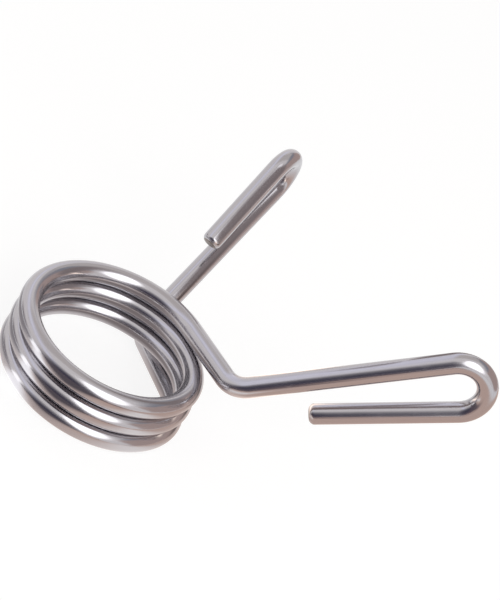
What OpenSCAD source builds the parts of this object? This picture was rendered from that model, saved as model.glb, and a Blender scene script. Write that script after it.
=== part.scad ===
// Hand grip strengthener made of one length of round spring wire.
// A close-wound torsion coil of about three turns stands between two arms.  Each arm leaves
// the coil along its tangent, bends outwards and upwards once, and ends in a hairpin hook that
// the hand holds.  The arms cross beside the coil, so squeezing them together unwinds it.
// Z is the coil's axis, the origin is its middle, and +X points out between the two arms.

/* [Wire] */
// Diameter of the round wire
wire_d = 6.3; // [4.5:0.1:7.5]
// Radius that rounds the rim of each cut end
end_round = 1.8; // [0.4:0.1:2]

/* [Coil] */
// Bore inside the turns
coil_bore = 47.7; // [40:0.1:60]
// Clear gap between neighbouring turns
turn_gap = 0.5; // [0.45:0.05:1.5]
// Angle wound from one end of the coil to the other
coil_angle = 1071; // [1040:1:1110]

/* [Arms] */
// Straight run from the coil to the first bend
run_length = 21; // [14:0.5:35]
// Inside radius of the first bend
bend_inside_r = 5.35; // [4:0.05:12]
// How far each arm turns outwards at its first bend, seen from above
arm_splay = 53.5; // [45:0.5:70]
// How steeply both arms climb after the first bend
arm_rise = 38.5; // [20:0.5:50]
// Straight leg between the first bend and the hook
leg_length = 59.5; // [50:0.5:90]

/* [Hooks] */
// Clear width inside each hook
hook_gap = 10.8; // [8:0.1:16]
// Angle that each hook turns through
hook_sweep = 187; // [178:0.5:190]
// Straight return behind the upper arm's hook
upper_return = 43.5; // [20:0.5:50]
// Straight return behind the lower arm's hook
lower_return = 32; // [20:0.5:50]

/* [Stand] */
// Depth of the flat on which the coil stands
foot_depth = 0.5; // [0.3:0.1:1]
// How far before the coil's lower end that depth is reached
foot_angle = 95; // [70:1:120]

/* [Hidden] */

// Facets round the wire and angle between the coil's rings
wire_sides = 12;
ring_step = 9;
// Facets of the round solids, which all come out as true curves
arm_facets = 48;
// Angle between the points of a cut end's rounded rim
rim_step = 15;
// How far bending draws the wire's radius in, and how far a bend reaches into a straight
bend_draw = 0.03;
bend_lap = 0.3;

wire_r = wire_d / 2;
coil_r = coil_bore / 2 + wire_r;
bend_r = bend_inside_r + wire_r;
hook_r = hook_gap / 2 + wire_r;
turn_pitch = wire_d + turn_gap;
coil_height = turn_pitch * coil_angle / 360;
coil_climb = atan(turn_pitch / (2 * PI * coil_r));
// The coil is wound evenly about +X, so its ends lie this far to either side of it
first_angle = (360 * round(coil_angle / 360) - coil_angle) / 2;

bright_wire = [0.73, 0.72, 0.74];

function unit(v) = v / norm(v);
// Part of v that is square to the unit vector t, as a unit vector
function square_to(t, v) = unit(v - (v * t) * t);

// Direction with a compass angle seen from above and a climb
function heading(compass, climb) =
    [cos(compass) * cos(climb), sin(compass) * cos(climb), sin(climb)];
// Point at the end of an arc that starts at p along t and turns towards n
function arc_end(p, t, n, r, sweep) = p + r * (sin(sweep) * t + (1 - cos(sweep)) * n);
// Direction at the end of that arc
function arc_heading(t, n, sweep) = cos(sweep) * t + sin(sweep) * n;

// The coil's centreline, measured by the angle a wound down from its upper end
function coil_point(a) = [
    coil_r * cos(first_angle + a),
    coil_r * sin(first_angle + a),
    coil_height / 2 - turn_pitch * a / 360
];
function coil_heading(a) = heading(first_angle + a + 90, -coil_climb);

// One ring of the tube round the coil's centreline
function coil_ring(a) =
    let (centre = coil_point(a), t = coil_heading(a))
    let (out = [cos(first_angle + a), sin(first_angle + a), 0])
    let (up = cross(out, t))
    [for (k = [0 : wire_sides - 1])
        let (turn = 360 * k / wire_sides)
        centre + wire_r * (cos(turn) * out + sin(turn) * up)];

ring_count = ceil(coil_angle / ring_step) + 1;
ring_angles = [for (i = [0 : ring_count - 1]) coil_angle * i / (ring_count - 1)];

// Least gap between turns, measured between the centreline's points over half a turn apart
half_turn_rings = ceil(ring_count * 180 / coil_angle);
turn_distances = [
    for (i = [0 : ring_count - 1])
        for (j = [i + half_turn_rings : 1 : ring_count - 1])
            norm(coil_point(ring_angles[i]) - coil_point(ring_angles[j]))
];
echo(str("coil: least gap between turns ", min(turn_distances) - wire_d, " mm"));

// The table's plane touches the lower arm's run along its length and reaches foot_depth
// into the underside of the coil
foot_point = coil_point(coil_angle - foot_angle) + [0, 0, foot_depth];
run_heading = coil_heading(coil_angle);
stand_up = unit(cross(coil_point(coil_angle) - foot_point, run_heading));
stand_point = foot_point - wire_r * stand_up;
echo(str("stand: point ", stand_point, " outward ", -stand_up));

// Moves a child from the origin and the Z and X axes to the point p, heading t and side n
module placed(p, t, n) {
    m = cross(t, n);
    multmatrix([
        [n.x, m.x, t.x, p.x],
        [n.y, m.y, t.y, p.y],
        [n.z, m.z, t.z, p.z],
        [0, 0, 0, 1]
    ])
        children();
}

// Straight wire from p along t
module straight_wire(p, t, n, length) {
    placed(p, t, n)
        cylinder(h = length, r = wire_r, $fn = arm_facets);
}

// Wire that starts at p along t and turns towards n.  It is drawn in by bend_draw, and each
// end reaches bend_lap into the straight wire there.
module bent_wire(p, t, n, r, sweep) {
    lap_angle = bend_lap * 180 / (PI * r);
    placed(p, t, n)
        translate([r, 0, 0])
            rotate([90, lap_angle, 180])
                rotate_extrude(angle = sweep + 2 * lap_angle, $fn = arm_facets)
                    translate([r, 0])
                        circle(r = wire_r - bend_draw, $fn = arm_facets);
}

// Straight wire from p along t to a cut end with a rounded rim
module end_wire(p, t, n, length) {
    rim = [
        for (a = [0 : rim_step : 90])
            [wire_r - end_round * (1 - cos(a)), length - end_round * (1 - sin(a))]
    ];
    placed(p, t, n)
        rotate_extrude($fn = arm_facets)
            polygon(concat([[0, 0], [wire_r, 0]], rim, [[0, length]]));
}

// One arm, from the coil's upper end to its cut end.  Its leg climbs by rise, and its hook
// turns down under the leg.
module arm(rise, return_length) {
    compass = first_angle - 90;
    coil_end = coil_point(0);
    run_t = heading(compass, coil_climb);
    leg_t = heading(compass + arm_splay, rise);
    bend_sweep = acos(run_t * leg_t);
    bend_n = square_to(run_t, leg_t);
    run_end = coil_end + run_length * run_t;
    bend_end = arc_end(run_end, run_t, bend_n, bend_r, bend_sweep);
    leg_end = bend_end + leg_length * leg_t;
    hook_n = square_to(leg_t, [0, 0, -1]);
    hook_end = arc_end(leg_end, leg_t, hook_n, hook_r, hook_sweep);
    return_t = arc_heading(leg_t, hook_n, hook_sweep);
    return_n = arc_heading(hook_n, -leg_t, hook_sweep);
    straight_wire(coil_end, run_t, bend_n, run_length);
    bent_wire(run_end, run_t, bend_n, bend_r, bend_sweep);
    straight_wire(bend_end, leg_t, hook_n, leg_length);
    bent_wire(leg_end, leg_t, hook_n, hook_r, hook_sweep);
    end_wire(hook_end, return_t, return_n, return_length);
}

// Everything under the table's plane, as far as the coil reaches
module under_table() {
    reach = 3 * (coil_r + wire_r);
    placed(stand_point, -stand_up, run_heading)
        translate([-reach, -reach, 0])
            cube([2 * reach, 2 * reach, coil_height + wire_d]);
}

// The wound tube, as rings of points joined by triangles
module coil_tube() {
    points = [for (a = ring_angles) each coil_ring(a)];
    last = (ring_count - 1) * wire_sides;
    wall = [
        for (i = [0 : ring_count - 2])
            for (k = [0 : wire_sides - 1])
                let (a = i * wire_sides + k)
                let (b = i * wire_sides + (k + 1) % wire_sides)
                each [[a, b, b + wire_sides], [a, b + wire_sides, a + wire_sides]]
    ];
    first_cap = [for (k = [1 : wire_sides - 2]) [0, k + 1, k]];
    last_cap = [for (k = [1 : wire_sides - 2]) [last, last + k, last + k + 1]];
    polyhedron(points = points, faces = concat(wall, first_cap, last_cap), convexity = 10);
}

module coil() {
    color(bright_wire)
        difference() {
            coil_tube();
            under_table();
        }
}

module upper_arm() {
    color(bright_wire)
        arm(arm_rise, upper_return);
}

// The lower arm is the upper one turned over about X, with its climb the other way round, so
// its leg climbs too and its hook turns up
module lower_arm() {
    color(bright_wire)
        rotate([180, 0, 0])
            arm(-arm_rise, lower_return);
}

coil();
upper_arm();
lower_arm();
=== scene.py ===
# %% [markdown]
# # A hand grip strengthener bent from one length of spring wire
#
# The real object is a single piece: round spring steel wire, about 815 mm of it, wound into a
# coil of three turns and bent outwards into two handles. Squeezing the handles together
# unwinds the coil a little, and the coil pushes back.
#
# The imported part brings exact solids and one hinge. This file dresses them: it forms the same
# wire again as one smooth skin in three pieces, gives it the finish of bright plated wire, and
# sets it in a small studio.

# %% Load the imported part
from math import acos, atan2, cos, degrees, pi, radians, sin, tan, tau

import bmesh
import bpy
from mathutils import Matrix, Vector


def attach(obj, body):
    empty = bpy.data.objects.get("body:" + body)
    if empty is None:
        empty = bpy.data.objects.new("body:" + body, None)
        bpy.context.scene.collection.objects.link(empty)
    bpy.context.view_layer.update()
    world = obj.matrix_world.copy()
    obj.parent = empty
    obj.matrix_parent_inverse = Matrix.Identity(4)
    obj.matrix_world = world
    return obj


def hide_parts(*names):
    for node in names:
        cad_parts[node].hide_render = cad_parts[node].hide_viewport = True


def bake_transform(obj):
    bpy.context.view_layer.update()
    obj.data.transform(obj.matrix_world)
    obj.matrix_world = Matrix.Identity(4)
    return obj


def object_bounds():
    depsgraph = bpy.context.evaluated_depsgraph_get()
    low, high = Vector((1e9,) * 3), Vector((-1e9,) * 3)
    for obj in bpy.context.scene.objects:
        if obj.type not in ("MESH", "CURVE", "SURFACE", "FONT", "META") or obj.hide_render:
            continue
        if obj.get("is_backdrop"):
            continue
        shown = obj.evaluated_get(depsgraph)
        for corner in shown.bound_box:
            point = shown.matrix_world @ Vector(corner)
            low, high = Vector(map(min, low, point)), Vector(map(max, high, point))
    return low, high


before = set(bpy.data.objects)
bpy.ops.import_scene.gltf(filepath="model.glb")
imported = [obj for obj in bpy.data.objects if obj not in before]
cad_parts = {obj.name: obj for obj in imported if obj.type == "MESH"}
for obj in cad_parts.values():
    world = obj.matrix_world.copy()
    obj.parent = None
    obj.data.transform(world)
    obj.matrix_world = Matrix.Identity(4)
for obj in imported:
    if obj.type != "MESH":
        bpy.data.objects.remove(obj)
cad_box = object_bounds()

# %% [markdown]
# ## Sizes
#
# The sizes below are the ones that the part was built from, in metres. The coil's axis is Z,
# the middle of the coil is the origin, and +X points out between the two handles. The coil is
# wound evenly about +X, so both of its ends lie 4.5 degrees from it.

# %% Sizes of the wire, the coil and the handles
MM = 0.001
WIRE_R = 3.15 * MM
COIL_R = 27.0 * MM
TURN_PITCH = 6.8 * MM
COIL_ANGLE = radians(1071)
FIRST_ANGLE = radians(4.5)
RUN_LENGTH = 21.0 * MM
BEND_R = 8.5 * MM
ARM_SPLAY = radians(53.5)
ARM_RISE = radians(38.5)
LEG_LENGTH = 59.5 * MM
HOOK_R = 8.55 * MM
HOOK_ANGLE = radians(187)
UPPER_RETURN = 43.5 * MM
LOWER_RETURN = 32.0 * MM

COIL_HEIGHT = TURN_PITCH * COIL_ANGLE / tau
COIL_CLIMB = atan2(TURN_PITCH, tau * COIL_R)
UP = Vector((0, 0, 1))


def heading(compass, climb):
    """Direction with a compass angle seen from above and a climb."""
    return Vector((cos(compass) * cos(climb), sin(compass) * cos(climb), sin(climb)))


def square_to(along, v):
    """The part of v that is square to the direction along, as a unit vector."""
    return (v - v.dot(along) * along).normalized()


print(f"coil: {degrees(COIL_ANGLE) / 360:.3f} turns, {COIL_HEIGHT / MM:.2f} mm between its ends")

# %% [markdown]
# ## Forming wire with one operator
#
# On a wire-forming bench the wire is carried round a pin, or fed out straight. The bmesh
# operator `spin` does both to the open ring at the wire's end: round an axis it bends, with a
# move at every step (`dvec`) and no angle it feeds straight, and with both it winds a helix.
#
# A curve with a round bevel would be quicker, but its section twists where the path leaves a
# plane. Here each ring is carried as a rigid body, so lines that run along the wire stay where
# the drawing die put them. Every vertex also remembers where it was while the wire was still
# straight, X and Y across the section and Z along the length. The finish reads that attribute.

# %% A wire that is fed straight or bent, ring by ring
SECTION_SIDES = 48
STRAIGHT = "straight_wire"


class FormedWire:
    """Wire being formed: its mesh, the open ring at its end, and how much has been fed."""

    def __init__(self, centre, along, side, fed):
        self.centre, self.along, self.fed = centre.copy(), along.copy(), fed
        self.bm = bmesh.new()
        self.straight = self.bm.verts.layers.float_vector.new(STRAIGHT)
        place = Matrix((side, along.cross(side), along)).transposed().to_4x4()
        place.translation = centre
        ring = bmesh.ops.create_circle(
            self.bm, cap_ends=True, segments=SECTION_SIDES, radius=WIRE_R, matrix=place
        )["verts"]
        from_place = place.inverted()
        for v in ring:
            local = from_place @ v.co
            v[self.straight] = (local.x, local.y, fed)
        self.open_end = list(self.bm.edges)

    def carry(self, pin, axis, angle, move, steps, length):
        """Spins the open end, then tells each new ring how much wire lies before it."""
        first_new = len(self.bm.verts)
        made = bmesh.ops.spin(
            self.bm, geom=self.open_end, cent=pin, axis=axis, angle=angle, dvec=move / steps,
            steps=steps, use_merge=False, use_normal_flip=False, use_duplicate=False,
            space=Matrix.Identity(4),
        )["geom_last"]
        self.open_end = [e for e in made if isinstance(e, bmesh.types.BMEdge)]
        self.bm.verts.ensure_lookup_table()
        for i, v in enumerate(self.bm.verts[first_new:]):
            ring = i // SECTION_SIDES + 1
            x, y, _ = v[self.straight]
            v[self.straight] = (x, y, self.fed + length * ring / steps)
        turned = Matrix.Rotation(angle, 3, axis)
        self.centre = pin + turned @ (self.centre - pin) + move
        self.along = (turned @ self.along).normalized()
        self.fed += length

    def feed(self, length, steps):
        """Feeds a straight length."""
        self.carry(self.centre, self.along, 0, length * self.along, steps, length)

    def bend(self, towards, radius, angle, steps):
        """Bends the wire round a pin that lies towards a direction square to it."""
        pin = self.centre + radius * towards
        axis = self.along.cross(towards).normalized()
        self.carry(pin, axis, angle, Vector(), steps, radius * angle)

    def wind(self, radius, angle, climb, steps):
        """Winds a helix round Z."""
        pin = Vector((0, 0, self.centre.z))
        length = ((radius * angle) ** 2 + climb**2) ** 0.5
        self.carry(pin, UP, angle, climb * UP, steps, length)


print(f"section: {SECTION_SIDES} sides, {2 * WIRE_R / MM:.1f} mm across")

# %% [markdown]
# ## The coil
#
# A close-wound torsion coil is one spin with a steady fall. It starts at its upper end, where the
# upper handle leaves it, and runs down and round to the lower one. Ring steps of a degree and
# a half keep the reflections on the turns smooth. Both ends are closed with a flat face, which
# stays hidden because the handles meet the coil there face to face. The three helpers give the
# place, the direction and the outward side of the wire at an angle wound from the upper end.


# %% Wind the coil
def coil_point(angle):
    a = FIRST_ANGLE + angle
    return Vector((COIL_R * cos(a), COIL_R * sin(a), COIL_HEIGHT * (0.5 - angle / COIL_ANGLE)))


def coil_heading(angle):
    return heading(FIRST_ANGLE + angle + pi / 2, -COIL_CLIMB)


def outward(angle):
    return heading(FIRST_ANGLE + angle, 0)


# Each piece's pattern starts this far along the wire, so that none reads it near zero
PATTERN_START = 0.25
RING_STEP = radians(1.5)
coil = FormedWire(coil_point(0), coil_heading(0), outward(0), PATTERN_START)
coil.wind(COIL_R, COIL_ANGLE, -COIL_HEIGHT, steps=round(COIL_ANGLE / RING_STEP))
bmesh.ops.contextual_create(coil.bm, geom=coil.open_end)
end_error = (coil.centre - coil_point(COIL_ANGLE)).length
print(f"coil: {(coil.fed - PATTERN_START) / MM:.0f} mm of wire, end off by {end_error / MM:.4f} mm")

# %% [markdown]
# ## The handles
#
# Each handle leaves the coil along its tangent, turns once on a small pin so that it splays
# out and climbs, runs straight, and comes back on itself in a hairpin hook that gives the
# fingers something round to hold. The second handle is the first one turned over about X, but
# it climbs as well, so its hook turns up instead of down. One function forms both: `rise` is
# the climb seen from the handle's own side.


# %% Form the two handles
def form_handle(rise, return_length):
    """A handle that starts at the coil's upper end, before any turning over."""
    compass = FIRST_ANGLE - pi / 2
    run = heading(compass, COIL_CLIMB)
    leg = heading(compass + ARM_SPLAY, rise)
    wire = FormedWire(coil_point(0), run, outward(0), PATTERN_START)
    wire.feed(RUN_LENGTH, steps=4)
    wire.bend(square_to(run, leg), BEND_R, acos(run.dot(leg)), steps=24)
    wire.feed(LEG_LENGTH, steps=10)
    wire.bend(square_to(leg, -UP), HOOK_R, HOOK_ANGLE, steps=64)
    wire.feed(return_length, steps=8)
    return wire


upper = form_handle(ARM_RISE, UPPER_RETURN)
lower = form_handle(-ARM_RISE, LOWER_RETURN)
for name, wire in (("upper", upper), ("lower", lower)):
    print(f"{name} handle: {(wire.fed - PATTERN_START) / MM:.0f} mm of wire")

# %% [markdown]
# ## The cut ends
#
# The wire was cropped to length and both ends were dressed round, so that they don't scratch
# the hand. What is left of the cut is a small flat face inside a rim that is rounded by more
# than half of the wire's radius. Filling the ring and bevelling its edges gives both at once.
# Everything of the end that lies within 2.4 mm of the wire's middle line gets a second material,
# and two insets press a shallow dish into the face, where the blade sheared through.

# %% Close, round and dish the cut ends
END_ROUND = 1.8 * MM
CUT_R = 2.4 * MM
DISH_WIDTHS = (0.25 * MM, 0.4 * MM)
DISH_STEP = 0.04 * MM
CUT_FACE = 1
for wire in (upper, lower):
    face = bmesh.ops.contextual_create(wire.bm, geom=wire.open_end)["faces"][0]
    bmesh.ops.bevel(
        wire.bm, geom=list(face.edges), offset=END_ROUND, offset_type="OFFSET", segments=10,
        profile=0.5, affect="EDGES", material=-1, clamp_overlap=True,
    )
    cut = max(wire.bm.faces, key=lambda f: len(f.verts) * f.normal.dot(wire.along))
    for f in wire.bm.faces:
        from_end = f.calc_center_median() - wire.centre
        beyond = from_end.dot(wire.along)
        if beyond > -END_ROUND and (from_end - beyond * wire.along).length < CUT_R:
            f.material_index = CUT_FACE
    for width in DISH_WIDTHS:
        bmesh.ops.inset_individual(
            wire.bm, faces=[cut], thickness=width, depth=-DISH_STEP, use_even_offset=True
        )
    reach = max((v.co - wire.centre).dot(wire.along) for v in wire.bm.verts)
    print(f"cut end: rounded by {END_ROUND / MM:.1f} mm, {reach / MM:.3f} mm past the last ring")

# %% [markdown]
# ## Make the three pieces
#
# A finished piece's object stays at the origin and its place is in its mesh. Normals are
# recalculated because a spin can leave a skin inside out. Only the flat faces are shaded flat,
# and the edges round them are marked sharp, so the wire's own skin stays smooth up to the joint.
# The lower handle is turned over about X here, while it is still being formed.


# %% Turn each formed wire into an object
MERGE_DISTANCE = 1e-7


def make_piece(name, wire):
    bm = wire.bm
    bmesh.ops.remove_doubles(bm, verts=bm.verts, dist=MERGE_DISTANCE)
    bmesh.ops.recalc_face_normals(bm, faces=bm.faces)
    for f in bm.faces:
        f.smooth = len(f.verts) <= 4
        if len(f.verts) > 4:
            for e in f.edges:
                e.smooth = False
    mesh = bpy.data.meshes.new(name)
    bm.to_mesh(mesh)
    bm.free()
    piece = bpy.data.objects.new(name, mesh)
    bpy.context.scene.collection.objects.link(piece)
    print(f"{name}: {len(mesh.polygons)} faces")
    return piece


turned_over = Matrix.Rotation(pi, 3, "X")
bmesh.ops.rotate(lower.bm, verts=lower.bm.verts, cent=(0, 0, 0), matrix=turned_over)
wound_coil = make_piece("wound_coil", coil)
upper_handle = make_piece("upper_handle", upper)
lower_handle = make_piece("lower_handle", lower)

# %% [markdown]
# ## Helpers for the finishes
#
# Colours are written as the hex values that a paint program shows, and one function turns
# them to the linear values that the shader needs. One function adds a node, sets its inputs
# and links what comes before it.


# %% A colour function and a node function
def linear(hex_colour):
    parts = [int(hex_colour[i : i + 2], 16) / 255 for i in (1, 3, 5)]
    return [c / 12.92 if c <= 0.04045 else ((c + 0.055) / 1.055) ** 2.4 for c in parts] + [1]


def add(material, kind, settings=None, **inputs):
    """Adds a node. A value is set on its input, and an output socket is linked to it.

    An input is called by its name, such as Base_Color, or by its place, such as i0.
    """
    tree = material.node_tree
    n = tree.nodes.new(kind)
    for name, value in (settings or {}).items():
        setattr(n, name, value)
    for name, value in inputs.items():
        by_place = name[0] == "i" and name[1:].isdigit()
        socket = n.inputs[int(name[1:]) if by_place else name.replace("_", " ")]
        if isinstance(value, bpy.types.NodeSocket):
            tree.links.new(value, socket)
        else:
            socket.default_value = value
    return n


def new_material(name):
    material = bpy.data.materials.new(name)
    material.use_nodes = True
    material.node_tree.nodes.clear()
    return material


WIRE_PALE, WIRE_DULL = linear("#BEBCC0"), linear("#B5B3B8")
CUT_DARK, CUT_PALE = linear("#7D7370"), linear("#A49C98")
print("bright wire, linear:", [round(c, 3) for c in WIRE_PALE[:3]])

# %% [markdown]
# ## Bright plated spring wire
#
# The wire is drawn through a die, formed, and then plated bright. Plating keeps the shape of
# what is under it, so three things show in the reflections:
#
# - die lines along the wire. Real ones lie under 0.1 mm apart, which is too fine to show, so
#   they are drawn about 0.5 mm apart.
# - a slight unevenness over a few millimetres, which makes long reflections waver.
# - scuffs from handling, which only dull the shine.
#
# Each pattern's scale is how many of its features go into a metre: across the wire twice, and
# then along it.

# %% The finish of the wire
DIE_LINES = (2000, 2000, 25)  # 0.5 mm apart and some 40 mm long
WAVER = (220, 220, 110)  # 4.5 mm across the wire and 9 mm along it
SCUFFS = (420, 420, 160)  # 2.4 mm across the wire and 6 mm along it
LINE_DEPTH = 0.000005
WAVER_DEPTH = 0.00003


def bright_plated_wire():
    m = new_material("bright_plated_spring_wire")
    place = add(m, "ShaderNodeAttribute", {"attribute_name": STRAIGHT}).outputs["Vector"]
    lines_at = add(m, "ShaderNodeMapping", Vector=place, Scale=DIE_LINES).outputs[0]
    lines = add(m, "ShaderNodeTexNoise", Vector=lines_at, Scale=1.0, Detail=3.0, Roughness=0.6)
    waver_at = add(m, "ShaderNodeMapping", Vector=place, Scale=WAVER).outputs[0]
    waver = add(m, "ShaderNodeTexNoise", Vector=waver_at, Scale=1.0, Detail=1.0, Roughness=0.4)
    scuff_at = add(m, "ShaderNodeMapping", Vector=place, Scale=SCUFFS).outputs[0]
    scuff = add(m, "ShaderNodeTexNoise", Vector=scuff_at, Scale=1.0, Detail=6.0, Roughness=0.7)
    scuffed = add(
        m, "ShaderNodeMapRange", {"interpolation_type": "SMOOTHSTEP"}, Value=scuff.outputs[0],
        From_Min=0.5, From_Max=0.75, To_Min=0.0, To_Max=0.1,
    )
    rough = add(
        m, "ShaderNodeMapRange", Value=lines.outputs[0],
        From_Min=0.3, From_Max=0.7, To_Min=0.12, To_Max=0.2,
    )
    roughness = add(
        m, "ShaderNodeMath", {"operation": "ADD"}, i0=rough.outputs[0], i1=scuffed.outputs[0]
    )
    uneven = add(
        m, "ShaderNodeBump", Strength=1.0, Distance=WAVER_DEPTH, Height=waver.outputs[0]
    )
    lined = add(
        m, "ShaderNodeBump", Strength=1.0, Distance=LINE_DEPTH, Height=lines.outputs[0],
        Normal=uneven.outputs[0],
    )
    tint = add(
        m, "ShaderNodeMix", {"data_type": "RGBA"}, Factor=scuff.outputs[0],
        i6=WIRE_PALE, i7=WIRE_DULL,
    )
    metal = add(
        m, "ShaderNodeBsdfPrincipled", Base_Color=tint.outputs[2], Metallic=1.0,
        Roughness=roughness.outputs[0], Normal=lined.outputs[0],
    )
    add(m, "ShaderNodeOutputMaterial", Surface=metal.outputs[0])
    return m


wire_finish = bright_plated_wire()
print("finish:", wire_finish.name)

# %% [markdown]
# ## Cropped steel
#
# The faces of the cut ends are duller and darker than the wire: the plating is thin there and
# the shear left fine parallel marks. Real ones are too fine to show, so they are drawn about
# 0.3 mm apart.

# %% The finish of the cut ends
SHEAR_MARKS = (500, 3500, 1)  # 2 mm long and 0.3 mm apart
MARK_DEPTH = 0.00003


def cropped_steel():
    m = new_material("cropped_steel_end")
    place = add(m, "ShaderNodeAttribute", {"attribute_name": STRAIGHT}).outputs["Vector"]
    marks_at = add(m, "ShaderNodeMapping", Vector=place, Scale=SHEAR_MARKS).outputs[0]
    marks = add(m, "ShaderNodeTexNoise", Vector=marks_at, Scale=1.0, Detail=4.0, Roughness=0.7)
    tint = add(
        m, "ShaderNodeMix", {"data_type": "RGBA"}, Factor=marks.outputs[0],
        i6=CUT_DARK, i7=CUT_PALE,
    )
    bump = add(m, "ShaderNodeBump", Strength=1.0, Distance=MARK_DEPTH, Height=marks.outputs[0])
    metal = add(
        m, "ShaderNodeBsdfPrincipled", Base_Color=tint.outputs[2], Metallic=1.0,
        Roughness=0.42, Normal=bump.outputs[0],
    )
    add(m, "ShaderNodeOutputMaterial", Surface=metal.outputs[0])
    return m


end_finish = cropped_steel()
for piece in (wound_coil, upper_handle, lower_handle):
    piece.data.materials.append(wire_finish)
    piece.data.materials.append(end_finish)
print("finish:", end_finish.name)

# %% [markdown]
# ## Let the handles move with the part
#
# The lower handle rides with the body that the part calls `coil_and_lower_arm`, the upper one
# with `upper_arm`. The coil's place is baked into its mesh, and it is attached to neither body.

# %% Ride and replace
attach(lower_handle, "coil_and_lower_arm")
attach(upper_handle, "upper_arm")
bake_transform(wound_coil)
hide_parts("coil")
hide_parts("upper_arm")
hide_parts("lower_arm")

# %% [markdown]
# ## Camera
#
# The camera stands about 0.63 m away on the coil's side of the object, and looks down over the
# coil towards the handles. It is turned by about 32 degrees about its own line of sight, and is
# placed by its own three axes: to the right, up, and back from the object.

# %% Place the camera
CAMERA_COMPASS, CAMERA_HEIGHT, CAMERA_ROLL = radians(-134.587), radians(30.867), radians(32.041)
CAMERA_DISTANCE = 0.63282
CAMERA_TARGET = Vector((0.068957, 0.030539, 0.0))
CAMERA_LENS, CAMERA_SENSOR = 117.518, 36

back = heading(CAMERA_COMPASS, CAMERA_HEIGHT)
level_right = heading(CAMERA_COMPASS + pi / 2, 0)
level_up = back.cross(level_right)
right = cos(CAMERA_ROLL) * level_right + sin(CAMERA_ROLL) * level_up
up = cos(CAMERA_ROLL) * level_up - sin(CAMERA_ROLL) * level_right

camera_data = bpy.data.cameras.new("studio_camera")
camera_data.sensor_width = CAMERA_SENSOR
camera_data.lens = CAMERA_LENS
camera_data.clip_start, camera_data.clip_end = 0.01, 20
camera = bpy.data.objects.new("studio_camera", camera_data)
bpy.context.scene.collection.objects.link(camera)
turned = Matrix((right, up, back)).transposed().to_4x4()
turned.translation = CAMERA_TARGET + CAMERA_DISTANCE * back
camera.matrix_world = turned
bpy.context.scene.camera = camera
print("camera at", [round(c, 3) for c in turned.translation])

# %% [markdown]
# ## Floor
#
# Polished wire has hardly any colour of its own, so what stands round it is half of its finish.
# The stage is pale, as in a light tent, and starts with a floor in the plane on which the coil
# stands. Its paint glows only for the rays by which the camera, metal or glass see it. So the
# background is white without lighting the object, and the floor still takes its shadow.

# %% Lay the floor
MIDDLE = Vector((0.028, 0.0, 0.01))
STAND_POINT = Vector((-4.596, -26.745, -10.965)) * MM
STAND_UP = Vector((0.04438, 0.036648, 0.998342)).normalized()
FLOOR_SIZE = 4.0
FLOOR_GLOW = 0.81
NEARLY_UPRIGHT = 0.95


def seen_directly(m):
    """1 for the rays by which the camera, metal or glass sees a surface, and 0 for light."""
    seen = None
    for kind in ("Is Camera Ray", "Is Glossy Ray", "Is Transmission Ray"):
        ray = add(m, "ShaderNodeLightPath").outputs[kind]
        if seen is not None:
            ray = add(m, "ShaderNodeMath", {"operation": "MAXIMUM"}, i0=seen, i1=ray).outputs[0]
        seen = ray
    return seen


def stage_card(name, middle, facing, width, height, turn=0.0):
    """A flat card on the stage, facing a direction, with its height as upright as it can be."""
    upright = square_to(facing, UP if abs(facing.z) < NEARLY_UPRIGHT else Vector((0, 1, 0)))
    bm = bmesh.new()
    bmesh.ops.create_grid(bm, x_segments=1, y_segments=1, size=0.5)
    mesh = bpy.data.meshes.new(name)
    bm.to_mesh(mesh)
    bm.free()
    card = bpy.data.objects.new(name, mesh)
    bpy.context.scene.collection.objects.link(card)
    place = Matrix((upright.cross(facing), upright, facing)).transposed().to_4x4()
    place.translation = middle
    size = Matrix.Diagonal((width, height, 1, 1))
    card.matrix_world = place @ Matrix.Rotation(turn, 4, "Z") @ size
    card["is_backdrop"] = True
    return card


floor_paint = new_material("pale_matt_floor")
matt = add(floor_paint, "ShaderNodeBsdfDiffuse", Color=linear("#959595"))
share = add(
    floor_paint, "ShaderNodeMath", {"operation": "MULTIPLY"},
    i0=seen_directly(floor_paint), i1=FLOOR_GLOW,
)
glow = add(
    floor_paint, "ShaderNodeEmission", Color=linear("#FFFFFF"), Strength=share.outputs[0]
)
both = add(floor_paint, "ShaderNodeAddShader", i0=matt.outputs[0], i1=glow.outputs[0])
add(floor_paint, "ShaderNodeOutputMaterial", Surface=both.outputs[0])
floor = stage_card("floor", STAND_POINT, STAND_UP, FLOOR_SIZE, FLOOR_SIZE)
floor.data.materials.append(floor_paint)
print(f"floor: {FLOOR_SIZE:.0f} m square, {STAND_POINT.z / MM:.1f} mm high under the coil")

# %% [markdown]
# ## Cards that only the metal sees
#
# In a studio a shiny thing is lit by what it mirrors, so white, grey, warm and dark boards stand
# and lie round it. A real lamp or board could do this too, but it would also light the floor and
# throw shadows. These cards are seen by glossy rays alone. Each has an even colour that fades
# out towards its edges, as a square or as an oval, so that no band in the metal ends hard.

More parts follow.
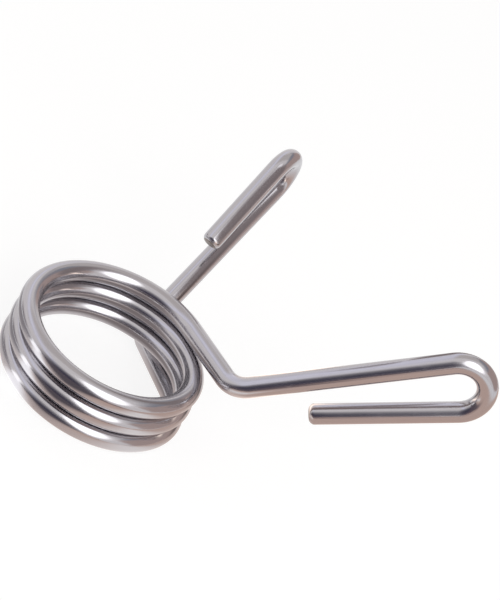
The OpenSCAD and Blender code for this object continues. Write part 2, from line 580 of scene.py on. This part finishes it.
# %% Paint for the cards
def card_paint(name, colour, strength, soft_x, soft_y, oval):
    """An even colour that fades out over a share of the card's width and height."""
    paint = new_material(name)
    at = add(paint, "ShaderNodeTexCoord").outputs["Object"]
    if oval:
        far = [add(paint, "ShaderNodeVectorMath", {"operation": "LENGTH"}, i0=at).outputs["Value"]]
    else:
        x_y = add(paint, "ShaderNodeSeparateXYZ", Vector=at).outputs[:2]
        far = [
            add(paint, "ShaderNodeMath", {"operation": "ABSOLUTE"}, i0=side).outputs[0]
            for side in x_y
        ]
    mask = 1.0
    for value, soft in zip(far, (soft_x, soft_y)):
        fade = add(
            paint, "ShaderNodeMapRange", {"interpolation_type": "SMOOTHSTEP"}, Value=value,
            From_Min=0.5 - soft, From_Max=0.5, To_Min=1.0, To_Max=0.0,
        ).outputs[0]
        mask = add(
            paint, "ShaderNodeMath", {"operation": "MULTIPLY"}, i0=fade, i1=mask
        ).outputs[0]
    clear = add(paint, "ShaderNodeBsdfTransparent")
    light = add(paint, "ShaderNodeEmission", Color=linear(colour), Strength=strength)
    mix = add(
        paint, "ShaderNodeMixShader", i0=mask, i1=clear.outputs[0], i2=light.outputs[0]
    )
    add(paint, "ShaderNodeOutputMaterial", Surface=mix.outputs[0])
    return paint


def paint_card(card, size, soft, colour, strength, oval):
    """Paints a card and hides it from all but the metal. Size and soft edge share a unit."""
    edges = [min(soft / a, 0.5) for a in size]
    card.data.materials.append(card_paint(card.name + "_paint", colour, strength, *edges, oval))
    card.visible_camera = card.visible_diffuse = card.visible_shadow = False
    card.visible_transmission = card.visible_volume_scatter = False


print("card paint: even colour, soft edge, square or oval")

# %% [markdown]
# ## Three ways to set a card
#
# A card lies on the floor, stands a metre and a half away, or hangs close to the object. The far
# ones are set by the direction in which the object sees them and by the angle that they fill,
# because that is how a mirror finds them. The others are set in millimetres. Cards on the floor
# lie over each other by a hair, so that each one hides what it covers.

# %% Lying, standing and near cards
def fill_view(distance, degrees_wide, degrees_high):
    """The width and height that fill an angle, seen from the object."""
    return [2 * distance * tan(radians(a) / 2) for a in (degrees_wide, degrees_high)]


def lying_card(name, x, y, size, turn, colour, strength=1.0, soft=40, above=0.2):
    """A card that lies on the floor, above it by a hair, in millimetres."""
    at = Vector((x * MM, y * MM, 0))
    at.z = STAND_POINT.z - ((at - STAND_POINT) * Vector((1, 1, 0))).dot(STAND_UP) / STAND_UP.z
    width, height = (a * MM for a in size)
    card = stage_card(
        name, at + above * MM * STAND_UP, STAND_UP, width, height, turn=radians(turn)
    )
    paint_card(card, size, soft, colour, strength, oval=False)


def standing_card(
    name, compass, height, fills, colour, strength=1.0, soft=16, distance=1.5, oval=False
):
    """A card at a compass angle and a height above the floor. Its size and edge are angles."""
    way = heading(radians(compass), radians(height))
    card = stage_card(name, MIDDLE + distance * way, -way, *fill_view(distance, *fills))
    paint_card(card, fills, soft, colour, strength, oval)


def near_card(name, at, compass, height, size, turn, colour, strength=1.0, soft=10, oval=False):
    """A small card close to the object, in millimetres, turned away from a direction."""
    facing = -heading(radians(compass), radians(height))
    width, high = (a * MM for a in size)
    card = stage_card(name, Vector(at) * MM, facing, width, high, turn=radians(turn))
    paint_card(card, size, soft, colour, strength, oval)


print("a card that fills 40 degrees at 1.5 m is", round(fill_view(1.5, 40, 40)[0], 2), "m wide")

# %% [markdown]
# ## Boards on the floor
#
# The undersides of the wire mirror the floor. A warm board lies under the handles, and two dark
# boards lie towards the camera, where they carry on the dark line of the flag above them. The
# leg board covers one end of them, so that the dark line under the near leg stays narrow. A grey
# board lies behind the coil and a pale card beside its bore. The grey card in the bore itself is
# painted shade: it darkens the floor that the inner turns mirror, where the coil shades it. A
# strip of light beside the coil draws a thin bright line along its lowest turns.

# %% Lay the boards
lying_card("warm_board", 283, -91, (914, 338), 4, "#E6CBBD", soft=121)
lying_card("far_dark_board", -1006, -351, (1678, 1379), -26, "#6C5F69", soft=54, above=0.3)
lying_card("near_dark_board", -132, -94, (196, 200), -10, "#6C656B", soft=15, above=0.4)
lying_card("leg_board", -31, -226, (122, 148), -31, "#D1B6AA", soft=26, above=0.45)
lying_card("grey_board", -92, 78, (158, 135), -8, "#ACA7A9", soft=24, above=0.5)
# Painted shade: a grey card where the coil shades the floor in its bore, for the inner turns to
# mirror
lying_card("bore_painted_shade", 1, 3, (54, 36), 17, "#9D9391", soft=14, above=0.5)
lying_card("pale_card", 6, -43, (43, 82), 17, "#FFFAF6", 1.2, soft=21, above=0.5)
lying_card("strip_light", -92, 6.5, (156, 19.5), -10, "#FFFFFF", 1.7, soft=8, above=0.6)
print("boards on the floor: 8")

# %% [markdown]
# ## Cards round the object
#
# The dark flag by the camera is what makes wire look like polished metal: it draws one soft dark
# line along every length. The window card above it makes the white glints. The cool card and the
# grey ones behind give the upper sides their pale, slightly blue greys, and the warm wall
# carries the floor's warm board up behind the object.
#
# The four near cards reach one place each: a low white one beside the coil, a flag over the far
# handle, which would otherwise mirror the window along its whole length, and a dark flag and a
# bright card that give the far handle's leg one dark and one light side.

# %% Stand the cards
standing_card("warm_wall", -12, 19, (94, 64), "#CAB5AE", soft=8, distance=1.6)
standing_card("grey_flag", -3, 47, (88, 37), "#9DA0AA", soft=19, distance=1.7)
standing_card("top_flag", 69, 65, (99, 48), "#E0DAD6", soft=9, distance=1.6)
standing_card("dark_flag", -150, -1, (101, 104), "#504D5C", soft=40, oval=True)
standing_card("cool_card", 127, 46, (130, 34), "#F3F3FF", 1.15, soft=33)
standing_card("side_card", 129, -3, (44, 38), "#746A71", soft=16, distance=1.55)
standing_card("window_card", -101, 44, (49, 72), "#FFFFFF", 2.6, soft=8, distance=1.4, oval=True)
near_card("low_card", (-56, 3, -1), 168, -9, (15, 21), 13, "#FFFFFF", 2.1, soft=3.5)
near_card("handle_flag", (76.8, -9.0, 65.0), -82, 59, (166, 83), 37, "#9C9190", soft=38, oval=True)
near_card("leg_flag", (67, -8, 3.5), -38, 39, (110, 39), -54, "#5A504C", soft=90, oval=True)
near_card(
    "glint_card", (45.5, -21, 19.5), -106, 43, (55, 32), -59, "#FFEEDE", 2.5, soft=25, oval=True,
)
print("cards round the object: 11")

# %% [markdown]
# ## Lamps and surroundings
#
# One large soft lamp stands where the window card is and throws the object's faint shadow. It is
# hidden from the metal, because the card is already there. The world lights all sides evenly at
# a plain level, and looks white where it is seen.

# %% Set the lamp and the world
def soft_lamp(name, compass, height, fills, brightness, distance=1.4):
    """An even rectangle of light that faces the object and doesn't show in the metal."""
    size = fill_view(distance, *fills)
    data = bpy.data.lights.new(name, "AREA")
    data.shape, data.size, data.size_y = "RECTANGLE", *size
    data.energy = brightness * pi * size[0] * size[1]
    lamp = bpy.data.objects.new(name, data)
    bpy.context.scene.collection.objects.link(lamp)
    way = heading(radians(compass), radians(height))
    lamp.matrix_world = Matrix.Translation(MIDDLE + distance * way) @ (
        way.to_track_quat("Z", "Y").to_matrix().to_4x4()
    )
    lamp.visible_camera = lamp.visible_glossy = False
    print(f"{name}: {size[0]:.2f} by {size[1]:.2f} m, {data.energy:.1f} W")


soft_lamp("window", -103, 30, (38, 38), 2.4)

WORLD_LIGHT, WORLD_SEEN = 0.55, 1.0
world = bpy.data.worlds.new("light_tent")
bpy.context.scene.world = world
world.use_nodes = True
world.node_tree.nodes.clear()
level = add(
    world, "ShaderNodeMapRange", Value=seen_directly(world), To_Min=WORLD_LIGHT, To_Max=WORLD_SEEN
)
sky = add(world, "ShaderNodeBackground", Color=linear("#FBF7F5"), Strength=level.outputs[0])
add(world, "ShaderNodeOutputWorld", Surface=sky.outputs[0])
bpy.context.scene.view_settings.view_transform = "Standard"

# %% [markdown]
# ## Measure and finish
#
# The dressed model must fill the same box as the solids.

# %% Print the two boxes and finish
visual_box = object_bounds()
for name, box in (("part", cad_box), ("visual", visual_box)):
    print(name, [[round(c / MM, 2) for c in corner] for corner in box])
